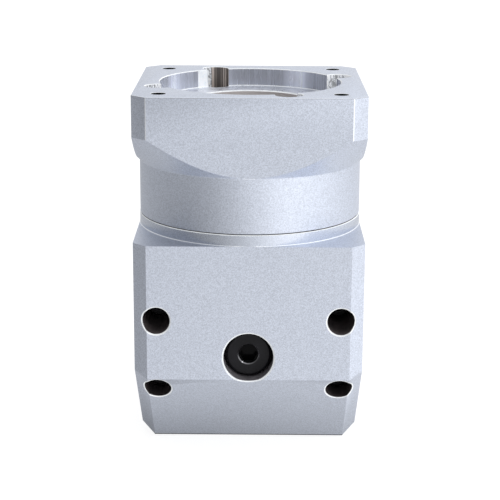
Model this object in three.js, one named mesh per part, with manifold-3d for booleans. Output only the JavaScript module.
// Right-angle planetary gearbox with a square servo-motor flange.
// Frame: millimetres, +Z up along the input (motor) axis. The origin is the foot of the input axis
// on the base face of the bevel gear cube. The output axis is horizontal, along +Y. Front is -Y.
// Heights are stations, counted from a level FOOT above the base face; one group lifts them all.
// Power path: motor shaft -> clamping hub with sun gear -> three planets in a fixed ring gear
// -> carrier shaft -> 1:1 bevel pair -> output shaft.
import * as THREE from "three";
import { mergeVertices } from "three/addons/utils/BufferGeometryUtils.js";
import Module from "manifold-3d";

const wasm = await Module();
wasm.setup();

// ---- driving dimensions
const SQUARE = 90; // side of the motor flange and of the cube
const HALF = SQUARE / 2;
const FOOT = 2.6; // depth of the base face below station 0
const MOTOR_FACE = 150 - FOOT; // the motor face is 150 above the base face
const OUTPUT_AXIS = HALF; // station of the output axis
const FLANGE_CHAMFER = 5.83;
const CUBE_CHAMFER = 5.33;
const SLOPE_TOP = 36; // station where the large 45 degree face meets the front
const NECK_R = 44.85;
const NECK_TOP = 116.5; // start of the 45 degree cone
const SEAM_BOTTOM = 94.5; // seam between the cube and the motor flange body
const SEAM_TOP = 94.9;
const PILOT_R = 36.5;
const PILOT_DEPTH = 7.4;
const SEAT_R = 23.5; // input bearing seat
const TAP_R = 2.65;
const MOTOR_TAP_XY = 34.8; // half the motor bolt square
const SCREW_CIRCLE_R = 39;
const SCREW_TURN = 22.5; // degrees
const COUNTERBORE_R = 5.4;
const CLEARANCE_R = 3.3; // screw clearance holes
const FLANGE_SEAT = 131; // counterbore floor in the motor flange
const FRONT_SEAT = 15; // counterbore floor in front, distance from the input axis
const HUB_TOP = 132.6;
const CLAMP_Z = 129.1; // station of the clamping screw
const CLAMP_SCREW_Y = -17.2;
const CLAMP_ACCESS_Y = -13.5;
const CLAMP_SLOT_HALF = 0.75;
const CAVITY_R = 23.9;
const SHAFT_BORE_R = 12.5; // bore of the bearings and spacer on the two shafts
const PIN_HOLE_R = 4.05;

// ---- gear data
const DEGREE = Math.PI / 180;
const MODULE = 1.25;
const PRESSURE_ANGLE = 25 * DEGREE;
const ADDENDUM = 0.95; // in modules
const DEDENDUM = 1.2; // in modules, bevel gears too
const SUN_TEETH = 12;
const PLANET_TEETH = 18;
const RING_TEETH = 48;
const PLANET_ORBIT_R = (MODULE * (SUN_TEETH + PLANET_TEETH)) / 2;
const BEVEL_MODULE = 2;
const BEVEL_TEETH = 20;
const BEVEL_ADDENDUM = 0.9; // in modules
const BEVEL_FACE = 0.3; // share of the cone distance that carries teeth
const BEVEL_PRESSURE_ANGLE = 20 * DEGREE;
const BEVEL_BORE_R = 8;
const BEVEL_BORE_START = 12.9; // from the apex to the inner end of the bore
const BEVEL_BACK = 23.9; // from the apex to the back of the hub
const LASH = 0.09; // tooth thinning on each flank of every gear

// ---- facets per turn
const FINE = 40;
const MEDIUM = 24;
const COARSE = 12;
const BEARING_FACETS = 18;

// ---- finishes; metalness is 1 unless given
const STEEL = 0x9a9da3;
const BLACK = 0x232327;
const FINISH = {
  aluminium: { color: 0xc4cad6, roughness: 0.45 },
  bronze: { color: 0xb08d4a, roughness: 0.4 },
  raceSteel: { color: STEEL, roughness: 0.25 },
  shaftSteel: { color: STEEL, roughness: 0.3 },
  gearSteel: { color: STEEL, roughness: 0.35 },
  plainSteel: { color: STEEL, roughness: 0.4 },
  dullSteel: { color: STEEL, roughness: 0.5 },
  blackPlug: { color: BLACK, roughness: 0.35 },
  blackClamp: { color: BLACK, roughness: 0.4 },
  blackScrew: { color: BLACK, roughness: 0.45 },
  blackCirclip: { color: BLACK, roughness: 0.5 },
  sealRubber: { color: BLACK, roughness: 0.7, metalness: 0 },
  ringRubber: { color: BLACK, roughness: 0.8, metalness: 0 },
};

// ---- frames
const IDENTITY = new THREE.Matrix4();
const move = (x, y, z) => new THREE.Matrix4().makeTranslation(x, y, z);
const turnX = (angle) => new THREE.Matrix4().makeRotationX(angle);
const turnY = (angle) => new THREE.Matrix4().makeRotationY(angle);
const turnZ = (angle) => new THREE.Matrix4().makeRotationZ(angle);
const chain = (...steps) => steps.reduce((all, step) => all.multiply(step), new THREE.Matrix4());

const APEX = move(0, 0, OUTPUT_AXIS); // where the input and output axes cross
const OUTPUT = chain(APEX, turnX(-Math.PI / 2)); // local +Z is world +Y, local +Y is world -Z
const FRONT = chain(APEX, turnX(Math.PI / 2)); // local +Z is world -Y
// Across the clamping hub: local +Z is world +X.
const CLAMP_SCREW = chain(move(0, CLAMP_SCREW_Y, CLAMP_Z), turnY(Math.PI / 2));
const CLAMP_ACCESS = chain(move(0, CLAMP_ACCESS_Y, CLAMP_Z), turnY(Math.PI / 2));

// ---- solids
function solid(geometry, matrix = IDENTITY) {
  for (const key of Object.keys(geometry.attributes)) {
    if (key !== "position") geometry.deleteAttribute(key);
  }
  geometry.applyMatrix4(matrix);
  const merged = mergeVertices(geometry, 1e-4);
  return new wasm.Manifold(
    new wasm.Mesh({
      numProp: 3,
      vertProperties: new Float32Array(merged.attributes.position.array),
      triVerts: new Uint32Array(merged.index.array),
    }),
  );
}
const place = (made, matrix) => made.transform(matrix.elements);
const join = (...parts) => parts.flat().reduce((whole, part) => whole.add(part));
const cut = (body, ...tools) => tools.flat().reduce((left, tool) => left.subtract(tool), body);

// Body turned about local Z from [radius, height] pairs. A profile that starts and ends on the
// axis stays open there, any other is closed.
function lathe(profile, facets, matrix = IDENTITY) {
  const points = profile.map(([radius, z]) => new THREE.Vector2(radius, z));
  const onAxis = profile[0][0] === 0 && profile.at(-1)[0] === 0;
  if (!onAxis) points.push(points[0].clone());
  const upright = chain(matrix, turnX(Math.PI / 2), turnY(Math.PI / facets));
  return solid(new THREE.LatheGeometry(points, facets), upright);
}
const disc = (radius, bottom, top, facets, matrix) =>
  lathe([[0, bottom], [radius, bottom], [radius, top], [0, top]], facets, matrix);

// A bore is measured across its facets, so its corners stand a little outside its radius.
const wide = (radius, facets) => radius / Math.cos(Math.PI / facets);
const widen = (profile, facets) => profile.map(([radius, z]) => [wide(radius, facets), z]);
const cutter = (profile, facets, matrix) => lathe(widen(profile, facets), facets, matrix);
function ring(inner, outer, bottom, top, facets, matrix) {
  const bore = wide(inner, facets);
  return lathe([[bore, bottom], [outer, bottom], [outer, top], [bore, top]], facets, matrix);
}
function prism(points, bottom, top, matrix = IDENTITY) {
  const shape = new THREE.Shape(points.map(([x, y]) => new THREE.Vector2(x, y)));
  const geometry = new THREE.ExtrudeGeometry(shape, { depth: top - bottom, bevelEnabled: false });
  return solid(geometry, chain(matrix, move(0, 0, bottom)));
}
function block(x0, x1, y0, y1, z0, z1, matrix = IDENTITY) {
  const centre = move((x0 + x1) / 2, (y0 + y1) / 2, (z0 + z1) / 2);
  return solid(new THREE.BoxGeometry(x1 - x0, y1 - y0, z1 - z0), chain(matrix, centre));
}

// ---- outlines and places
const polar = (points, turn = 0) =>
  points.map(([radius, angle]) => [radius * Math.cos(angle + turn), radius * Math.sin(angle + turn)]);
const onCircle = (radius, count, startDegrees = 0) =>
  polar(Array.from({ length: count }, (_, i) => [radius, (startDegrees + (360 * i) / count) * DEGREE]));
const hexagon = (acrossFlats) => onCircle(acrossFlats / Math.sqrt(3), 6, 30);
const chamferedSquare = (half, chamfer) => [
  [half - chamfer, -half], [half, -half + chamfer],
  [half, half - chamfer], [half - chamfer, half],
  [-half + chamfer, half], [-half, half - chamfer],
  [-half, -half + chamfer], [-half + chamfer, -half],
];
const atCorners = (x, y) => [[x, y], [-x, y], [-x, -y], [x, -y]];
const holes = (places, radius, bottom, top, matrix = IDENTITY) =>
  places.map(([x, y]) => disc(radius, bottom, top, COARSE, chain(matrix, move(x, y, 0))));

const flangeScrews = onCircle(SCREW_CIRCLE_R, 4, SCREW_TURN);
// Also on the screw circle, but mirrored about the output axis, at about +-36, +-15.
const outputScrews = atCorners(
  SCREW_CIRCLE_R * Math.cos(SCREW_TURN * DEGREE),
  SCREW_CIRCLE_R * Math.sin(SCREW_TURN * DEGREE),
);
const planetPlaces = onCircle(PLANET_ORBIT_R, 3, 90);

// ---- gear teeth
// One involute tooth as [radius, angle from its centre], up one flank and down the other.
// halfAngle is the half tooth angle at the pitch radius. A root inside the base circle runs
// radially up to it.
function toothOutline({ pitchR, pressureAngle, rootR, tipR, halfAngle }) {
  const baseR = pitchR * Math.cos(pressureAngle);
  const involute = (angle) => Math.tan(angle) - angle;
  const angleAt = (radius) =>
    halfAngle + involute(pressureAngle) - (radius > baseR ? involute(Math.acos(baseR / radius)) : 0);
  const radii = rootR < baseR ? [rootR, baseR, tipR] : [rootR, tipR];
  const flank = radii.map((radius) => [radius, angleAt(radius)]);
  return [...flank.map(([radius, angle]) => [radius, -angle]), ...flank.reverse()];
}

// Whole gear with one tooth centred on the angle turn. An internal one is the cutter for the
// space inside a ring gear.
function spurGear({ teeth, bottom, top, turn = 0, internal = false }) {
  const pitchR = (MODULE * teeth) / 2;
  const tooth = toothOutline({
    pitchR,
    pressureAngle: PRESSURE_ANGLE,
    rootR: pitchR - (internal ? ADDENDUM : DEDENDUM) * MODULE,
    tipR: pitchR + (internal ? DEDENDUM : ADDENDUM) * MODULE,
    halfAngle: Math.PI / (2 * teeth) + (internal ? LASH : -LASH) / pitchR,
  });
  const outline = [];
  for (let i = 0; i < teeth; i++) {
    outline.push(...polar(tooth, (2 * Math.PI * i) / teeth + turn));
  }
  return prism(outline, bottom, top);
}

// Straight bevel gear, 45 degree pitch cone, apex at the local origin, teeth opening along
// local +Z. Each end runs in to a bore with one facet per tooth.
function bevelGearBody(turn) {
  const pitchR = (BEVEL_MODULE * BEVEL_TEETH) / 2;
  const spread = 1 / Math.cos(Math.PI / 4);
  const backR = pitchR * spread; // pitch radius on the developed back cone
  const tooth = toothOutline({
    pitchR: backR,
    pressureAngle: BEVEL_PRESSURE_ANGLE,
    rootR: backR - DEDENDUM * BEVEL_MODULE,
    tipR: backR + BEVEL_ADDENDUM * BEVEL_MODULE,
    halfAngle: Math.PI / (2 * BEVEL_TEETH * spread) - LASH / backR,
  });
  const perTooth = tooth.length;
  const around = (radius, angle, z) =>
    new THREE.Vector3(radius * Math.cos(angle), radius * Math.sin(angle), z);
  const boreCorner = wide(BEVEL_BORE_R, BEVEL_TEETH);
  const outer = []; // tooth outline at the big end
  const boreLow = [];
  const boreHigh = [];
  for (let i = 0; i < BEVEL_TEETH; i++) {
    const centre = (2 * Math.PI * i) / BEVEL_TEETH + turn;
    for (const [coneR, angle] of tooth) {
      const radius = coneR * Math.SQRT1_2;
      outer.push(around(radius, centre + angle * spread, 2 * pitchR - radius));
    }
    boreLow.push(around(boreCorner, centre, BEVEL_BORE_START));
    boreHigh.push(around(boreCorner, centre, BEVEL_BACK));
  }
  const inner = outer.map((point) => point.clone().multiplyScalar(1 - BEVEL_FACE));
  const positions = [];
  const triangle = (...corners) => corners.forEach(({ x, y, z }) => positions.push(x, y, z));
  // tooth surfaces, and each tooth's fan to its bore corners
  for (let i = 0; i < outer.length; i++) {
    const next = (i + 1) % outer.length;
    const k = Math.floor(i / perTooth);
    triangle(inner[i], inner[next], outer[next]);
    triangle(inner[i], outer[next], outer[i]);
    triangle(outer[i], outer[next], boreHigh[k]);
    triangle(inner[next], inner[i], boreLow[k]);
  }
  // wedges between the fans, and the bore
  for (let i = 0; i < BEVEL_TEETH; i++) {
    const next = (i + 1) % BEVEL_TEETH;
    triangle(outer[next * perTooth], boreHigh[next], boreHigh[i]);
    triangle(inner[next * perTooth], boreLow[i], boreLow[next]);
    triangle(boreLow[i], boreHigh[i], boreHigh[next]);
    triangle(boreLow[i], boreHigh[next], boreLow[next]);
  }
  const attribute = new THREE.Float32BufferAttribute(positions, 3);
  return solid(new THREE.BufferGeometry().setAttribute("position", attribute));
}

// ---- scene graph
const gearbox = new THREE.Group();
const stations = new THREE.Group();
stations.position.z = FOOT;
gearbox.add(stations);

function add(name, made, { color, roughness, metalness = 1 }) {
  const { vertProperties, triVerts } = made.getMesh();
  const geometry = new THREE.BufferGeometry();
  geometry.setAttribute("position", new THREE.Float32BufferAttribute(vertProperties, 3));
  geometry.setIndex(new THREE.Uint32BufferAttribute(triVerts, 1));
  geometry.computeVertexNormals();
  const material = new THREE.MeshStandardMaterial({ color, roughness, metalness, flatShading: true });
  const mesh = new THREE.Mesh(geometry, material);
  mesh.name = name;
  stations.add(mesh);
}

// All profiles below are [radius, height] in the frame of their lathe or cutter.

// ---- motor flange: square plate, 45 degree cone and round neck in one casting
function motorFlangeBody() {
  const coneRise = 35; // carries the cone out past the plate's corners
  const above = MOTOR_FACE + 5;
  const envelope = [
    [0, 90], [NECK_R, 90], [NECK_R, NECK_TOP],
    [NECK_R + coneRise, NECK_TOP + coneRise], [0, NECK_TOP + coneRise],
  ];
  const cavity = [
    [0, 90], [34.8, 90], [34.8, 112.2], [21, 112.2], [21, 114], [SEAT_R, 114],
    [SEAT_R, 123.1], [24.8, 123.1], [24.8, 125.1], [SEAT_R, 125.1], // circlip groove
    [SEAT_R, MOTOR_FACE - PILOT_DEPTH], [PILOT_R, MOTOR_FACE - PILOT_DEPTH],
    [PILOT_R, above], [0, above],
  ];
  const plate = prism(chamferedSquare(HALF, FLANGE_CHAMFER), SEAM_TOP, MOTOR_FACE);
  return cut(
    plate.intersect(lathe(envelope, FINE)),
    cutter(cavity, FINE),
    holes(flangeScrews, COUNTERBORE_R, FLANGE_SEAT, above),
    holes(flangeScrews, CLEARANCE_R, 90, FLANGE_SEAT + 1),
    holes(atCorners(MOTOR_TAP_XY, MOTOR_TAP_XY), TAP_R, 135, above),
    disc(4.5, 16, 60, COARSE, CLAMP_ACCESS), // access to the clamping screw, on the +X side
  );
}

// ---- bevel gear cube with its round collar and the boss on its back
function bevelHousing() {
  const slopeFoot = move(0, SLOPE_TOP - HALF, 0);
  const slopeCut = block(-70, 70, -150, 20, -50, 0, chain(slopeFoot, turnX(-45 * DEGREE)));
  // X across, Y into the metal from the sloped face, Z up the slope
  const slopeFrame = chain(slopeFoot, new THREE.Matrix4().makeBasis(
    new THREE.Vector3(1, 0, 0),
    new THREE.Vector3(0, Math.SQRT1_2, Math.SQRT1_2),
    new THREE.Vector3(0, -Math.SQRT1_2, Math.SQRT1_2),
  ));
  const baseFrame = chain(move(0, 0, -FOOT), turnX(Math.PI / 2));
  // chamfers along the base's left and right edges and the sides of the sloped face
  const chamfers = [-1, 1].flatMap((side) => {
    const inset = HALF - CUBE_CHAMFER;
    const wedge = [
      [side * inset, 0], [side * (inset - 1), -1], [side * (HALF + 9), -1],
      [side * (HALF + 9), CUBE_CHAMFER + 9], [side * HALF, CUBE_CHAMFER],
    ];
    return [prism(wedge, -60, 60, baseFrame), prism(wedge, -30, 80, slopeFrame)];
  });
  const cube = prism(chamferedSquare(HALF, CUBE_CHAMFER), -FOOT, SQUARE);
  const body = join(
    cut(cube, slopeCut, chamfers),
    disc(HALF, SQUARE - 1, SEAM_BOTTOM, FINE),
    disc(NECK_R, HALF - 1, HALF + 5, FINE, OUTPUT),
  );
  const inputCavity = [
    [0, 30], [CAVITY_R, 30], [CAVITY_R, 69.2], [19.5, 69.2], [19.5, 70.5],
    [21.05, 70.5], [21.05, 89], [34, 89], [34, 96], [0, 96],
  ];
  const outputCavity = [[0, -21], [CAVITY_R, -21], [CAVITY_R, 31], [30.1, 31], [30.1, 60], [0, 60]];
  return cut(
    body,
    cutter(inputCavity, FINE),
    cutter(outputCavity, FINE, OUTPUT),
    disc(9.85, -60, -10, MEDIUM, OUTPUT), // front hole for the access plug
    holes(outputScrews, COUNTERBORE_R, -60, -FRONT_SEAT, OUTPUT),
    holes(outputScrews, CLEARANCE_R, -FRONT_SEAT - 1, 60, OUTPUT),
    holes(flangeScrews, CLEARANCE_R, 79, 100),
  );
}

// ---- output flange on the back of the cube
function outputFlange() {
  const outside = [
    [0, 31.4], [29.7, 31.4], [29.7, 50.4], [44.75, 50.4], [44.75, 69], [43.75, 70],
    [34, 70], [34, 74.4], [33.4, 75], [0, 75],
  ];
  const cavity = [
    [0, 30], [21, 30], [21, 33], [23.55, 33],
    [23.55, 59.6], [24.7, 59.6], [24.7, 61.4], [23.55, 61.4], // circlip groove
    [23.55, 64], [21.05, 64], [21.05, 80], [0, 80],
  ];
  return cut(
    lathe(outside, FINE, OUTPUT),
    cutter(cavity, FINE, OUTPUT),
    holes(outputScrews, CLEARANCE_R, 40, 64, OUTPUT),
    holes(onCircle(SCREW_CIRCLE_R, 4), TAP_R, 56, 90, OUTPUT),
  );
}

function ringGear() {
  const space = spurGear({ teeth: RING_TEETH, bottom: 95, top: 111, internal: true });
  return cut(ring(10, 34.5, 95.8, 109.5, FINE), space);
}

// ---- sun gear with the clamping hub, slotted at the top
function sunGearShaft() {
  const hub = [
    [0, 108.5], [5.9, 108.5], [5.9, 112.4], [14.95, 112.4], [14.95, 123.6],
    [13, 123.6], [13, HUB_TOP], [0, HUB_TOP],
  ];
  const sun = spurGear({ teeth: SUN_TEETH, bottom: 96.6, top: 109, turn: Math.PI / SUN_TEETH });
  return cut(
    join(sun, lathe(hub, MEDIUM)),
    disc(7, 115.5, 140, MEDIUM),
    block(-CLAMP_SLOT_HALF, CLAMP_SLOT_HALF, -30, 30, 125.4, 150),
  );
}
const clampRing = () => cut(
  ring(13.2, 21.5, 125.7, HUB_TOP - 0.1, MEDIUM),
  block(-CLAMP_SLOT_HALF, CLAMP_SLOT_HALF, -30, 0, 100, 150), // split on the front side
  disc(1.7, -20, 20, COARSE, CLAMP_SCREW),
  disc(2.95, 6.2, 30, COARSE, CLAMP_SCREW),
);
function clampScrew() {
  const profile = [
    [0, -9], [1.45, -9], [1.45, 6.4], [2.75, 6.4], [2.75, 9.2], [1.6, 9.2], [1.6, 7.6], [0, 7.6],
  ];
  return lathe(profile, COARSE, CLAMP_SCREW);
}

// ---- bearings: outer race, inner race, and one cage with its balls
function addBearing(name, boreR, outerR, bottom, top, matrix) {
  const depth = outerR - boreR;
  const width = top - bottom;
  const middleR = (boreR + outerR) / 2;
  const middleZ = (bottom + top) / 2;
  const wall = 0.16 * depth;
  const ballR = Math.min(0.29 * depth, 0.36 * width);
  const grooveR = ballR + 0.38; // raceways are a little wider than the balls
  const groove = (side) => [-1, 0, 1].map((step) => {
    const rise = step * grooveR * 0.8;
    return [middleR + side * Math.sqrt(grooveR * grooveR - rise * rise), middleZ + rise];
  });
  const outerBore = wide(outerR - wall, BEARING_FACETS);
  const innerBore = wide(boreR, BEARING_FACETS);
  const outerRace = [
    [outerBore, bottom], [outerR, bottom], [outerR, top], [outerBore, top],
    ...widen(groove(1).reverse(), BEARING_FACETS),
  ];
  const innerRace = [
    [innerBore, bottom], [boreR + wall, bottom], ...groove(-1),
    [boreR + wall, top], [innerBore, top],
  ];
  add(name + "_outer_race", lathe(outerRace, BEARING_FACETS, matrix), FINISH.raceSteel);
  add(name + "_inner_race", lathe(innerRace, BEARING_FACETS, matrix), FINISH.raceSteel);
  const cage = ring(
    middleR - 0.09 * depth, middleR + 0.09 * depth,
    middleZ - 0.42 * width, middleZ + 0.42 * width,
    BEARING_FACETS, matrix,
  );
  const balls = onCircle(middleR, 8).map(([x, y]) =>
    solid(new THREE.OctahedronGeometry(ballR, 0), chain(matrix, move(x, y, middleZ))));
  add(name + "_ball_cage", join(cage, balls), FINISH.bronze);
}

// ---- internal circlip with its two lug ends
function circlip(outerR, innerR, bottom, top, matrix) {
  const lugs = [-1, 1].map((side) =>
    disc(2.2, bottom, top, 8, chain(matrix, move(side * 3.6, innerR - 1, 0))));
  return cut(
    join(ring(innerR, outerR, bottom, top, MEDIUM, matrix), lugs),
    block(-1.6, 1.6, innerR - 6, outerR + 3, bottom - 1, top + 1, matrix),
  );
}

// ---- keys and keyways between the bevel gears and their shafts
const bevelKeyway = (bottom, top, matrix) => block(-2.5, 2.5, 4.9, 12, bottom, top, matrix);
const bevelKey = (bottom, top, matrix) => block(-2.4, 2.4, 5, 10.2, bottom, top, matrix);

// ---- planet carrier: plate with the shaft below and pillars between the planets
function carrierShaft() {
  const profile = [
    [0, 56.2], [7.9, 56.2], [7.9, 69], [12.45, 69], [12.45, 89.4], [15, 89.4],
    [15, 90.2], [33, 90.2], [33, 95.2], [0, 95.2],
  ];
  // [radius, degrees from the pillar's middle]
  const pillar = [
    [12.6, -15], [18, -13], [25.6, -11], [25.6, 11], [18, 13], [12.6, 15],
  ].map(([radius, degrees]) => [radius, degrees * DEGREE]);
  const pillars = [150, 270, 390].map((degrees) => prism(polar(pillar, degrees * DEGREE), 95, 109.6));
  const plate = cut(lathe(profile, MEDIUM), holes(planetPlaces, PIN_HOLE_R, 80, 100));
  return cut(join(plate, pillars), disc(2.6, 50, 72, COARSE), bevelKeyway(58, 68.5));
}
const carrierCoverPlate = () =>
  cut(ring(10.2, 33, 109.8, 111.9, MEDIUM), holes(planetPlaces, PIN_HOLE_R, 100, 120));

// Each planet is turned as if it had rolled inside the ring gear from angle 0, where its tooth
// stands in a space of the ring gear.
function addPlanet([x, y], i) {
  const bottom = 96.9;
  const top = 108.3;
  const orbit = (90 + 120 * i) * DEGREE;
  const centre = move(x, y, 0);
  const frame = chain(centre, turnZ((-orbit * (RING_TEETH - PLANET_TEETH)) / PLANET_TEETH));
  const gear = cut(spurGear({ teeth: PLANET_TEETH, bottom, top }), disc(5.4, 90, 115, COARSE));
  add(`planet_pin_${i + 1}`, disc(3.95, 90.6, 111.6, COARSE, centre), FINISH.shaftSteel);
  add(`planet_bush_${i + 1}`, ring(4.1, 5.3, bottom, top, COARSE, frame), FINISH.bronze);
  add(`planet_gear_${i + 1}`, place(gear, frame), FINISH.gearSteel);
}

// ---- bevel gears, each held by a washer and a screw in the end of its shaft
const bevelGear = (turn, matrix) =>
  place(cut(bevelGearBody(turn), block(-2.55, 2.55, 0, 10.4, 0, 40)), matrix);
function addRetainer(prefix, matrix) {
  const profile = [
    [0, 7.6], [4.2, 7.6], [4.6, 8], [4.6, 9.9], [2.5, 9.9], [2.5, 24], [0, 24],
  ];
  const screw = cut(lathe(profile, COARSE, matrix), prism(hexagon(3), 5, 9, matrix));
  add(prefix + "_washer", ring(2.8, 9.6, 10, 11, 20, matrix), FINISH.plainSteel);
  add(prefix + "_screw", screw, FINISH.blackScrew);
}

// ---- output shaft with its outer keyway on the upper side
function outputShaft() {
  const profile = [
    [0, 11.2], [7.9, 11.2], [7.9, 24], [12.4, 24], [12.4, 62.4], [11.9, 62.4],
    [11.9, 76], [10, 76], [10, 110.2], [9.2, 111], [0, 111],
  ];
  return cut(
    lathe(profile, MEDIUM, OUTPUT),
    disc(2.6, 0, 26, COARSE, OUTPUT),
    disc(2.1, 96, 120, COARSE, OUTPUT),
    bevelKeyway(12.9, 23.8, OUTPUT),
    block(-3.05, 3.05, -14, -6.4, 81, 106.2, OUTPUT),
  );
}
function outputSeal() {
  const profile = [
    [13, 65], [20.95, 65], [20.95, 72.6], [13.4, 72.6], [12.1, 70.2], [13, 68.6],
  ];
  return lathe(profile, MEDIUM, OUTPUT);
}

// ---- socket head cap screw, head up; seat is the height under its head
function capScrew(seat, tip, matrix) {
  const shankR = 2.95;
  const headR = 4.95;
  const headHeight = 6;
  const chamfer = 0.5;
  const top = seat + headHeight;
  const profile = [
    [0, tip], [shankR, tip], [shankR, seat], [headR, seat],
    [headR, top - chamfer], [headR - chamfer, top], [0, top],
  ];
  const socket = prism(hexagon(5), seat + headHeight / 2, top + 3, matrix);
  return cut(lathe(profile, COARSE, matrix), socket);
}

// ---- plugs with hexagon sockets
function accessPlug() {
  const profile = [
    [0, 30], [9.4, 30], [9.4, 39.1], [8.5, 39.9], [4.9, 39.9], [4.2, 39.2], [0, 39.2],
  ];
  return cut(lathe(profile, MEDIUM, FRONT), prism(hexagon(7.4), 34.5, 45, FRONT));
}
function clampAccessPlug() {
  const profile = [[0, 39.5], [4.2, 39.5], [4.2, 44.3], [3.8, 44.7], [0, 44.7]];
  return cut(lathe(profile, COARSE, CLAMP_ACCESS), prism(hexagon(4), 42, 50, CLAMP_ACCESS));
}

// ---- assembly
add("motor_flange_body", motorFlangeBody(), FINISH.aluminium);
add("bevel_housing", bevelHousing(), FINISH.aluminium);
add("output_flange", outputFlange(), FINISH.aluminium);
add("ring_gear", ringGear(), FINISH.plainSteel);
add("sun_gear_shaft", sunGearShaft(), FINISH.gearSteel);
add("clamp_ring", clampRing(), FINISH.gearSteel);
add("clamp_screw", clampScrew(), FINISH.blackClamp);

addBearing("input_bearing", 15, 23.45, 114, 123, IDENTITY);
addBearing("carrier_bearing_upper", SHAFT_BORE_R, 21, 79.9, 88.7, IDENTITY);
addBearing("carrier_bearing_lower", SHAFT_BORE_R, 21, 70.6, 79.4, IDENTITY);
addBearing("output_bearing_inner", SHAFT_BORE_R, 23.5, 33.1, 45, OUTPUT);
addBearing("output_bearing_outer", SHAFT_BORE_R, 23.5, 47.4, 59.4, OUTPUT);
add("input_circlip", circlip(24.5, 21.6, 123.4, 124.8, IDENTITY), FINISH.blackCirclip);
add("output_circlip", circlip(24.4, 21.4, 59.8, 61.2, OUTPUT), FINISH.blackCirclip);

add("carrier_shaft", carrierShaft(), FINISH.gearSteel);
add("carrier_cover_plate", carrierCoverPlate(), FINISH.gearSteel);
planetPlaces.forEach(addPlanet);

add("bevel_pinion", bevelGear(Math.PI / 2, APEX), FINISH.gearSteel);
// Half a tooth pitch of extra turn puts a space on the upper side, where the pinion meshes.
const outputGearTurn = -Math.PI / 2 + Math.PI / BEVEL_TEETH;
add("output_bevel_gear", bevelGear(outputGearTurn, OUTPUT), FINISH.gearSteel);
addRetainer("pinion", APEX);
addRetainer("output_gear", OUTPUT);
add("pinion_key", bevelKey(58.3, 68.2), FINISH.dullSteel);
add("output_gear_key", bevelKey(13.3, 23.5, OUTPUT), FINISH.dullSteel);

add("output_shaft", outputShaft(), FINISH.shaftSteel);
add("output_key", block(-2.95, 2.95, -12.4, -6.5, 81.2, 106, OUTPUT), FINISH.gearSteel);
// between the two output bearings
add("output_spacer", ring(SHAFT_BORE_R, 15, 45.2, 47.2, MEDIUM, OUTPUT), FINISH.plainSteel);
add("output_seal", outputSeal(), FINISH.sealRubber);
// in the seam between the cube's collar and the motor flange body
const housingRing = ring(34.95, 35.6, SEAM_BOTTOM + 0.05, SEAM_TOP - 0.05, MEDIUM);
add("housing_o_ring", housingRing, FINISH.ringRubber);

flangeScrews.forEach(([x, y], i) => {
  add(`flange_screw_${i + 1}`, capScrew(FLANGE_SEAT + 0.05, 80, move(x, y, 0)), FINISH.blackScrew);
});
outputScrews.forEach(([x, y], i) => {
  const screw = capScrew(FRONT_SEAT + 0.3, -62, chain(FRONT, move(x, y, 0)));
  add(`output_flange_screw_${i + 1}`, screw, FINISH.blackScrew);
});
add("access_plug", accessPlug(), FINISH.blackPlug);
add("clamp_access_plug", clampAccessPlug(), FINISH.blackPlug);

export default gearbox;
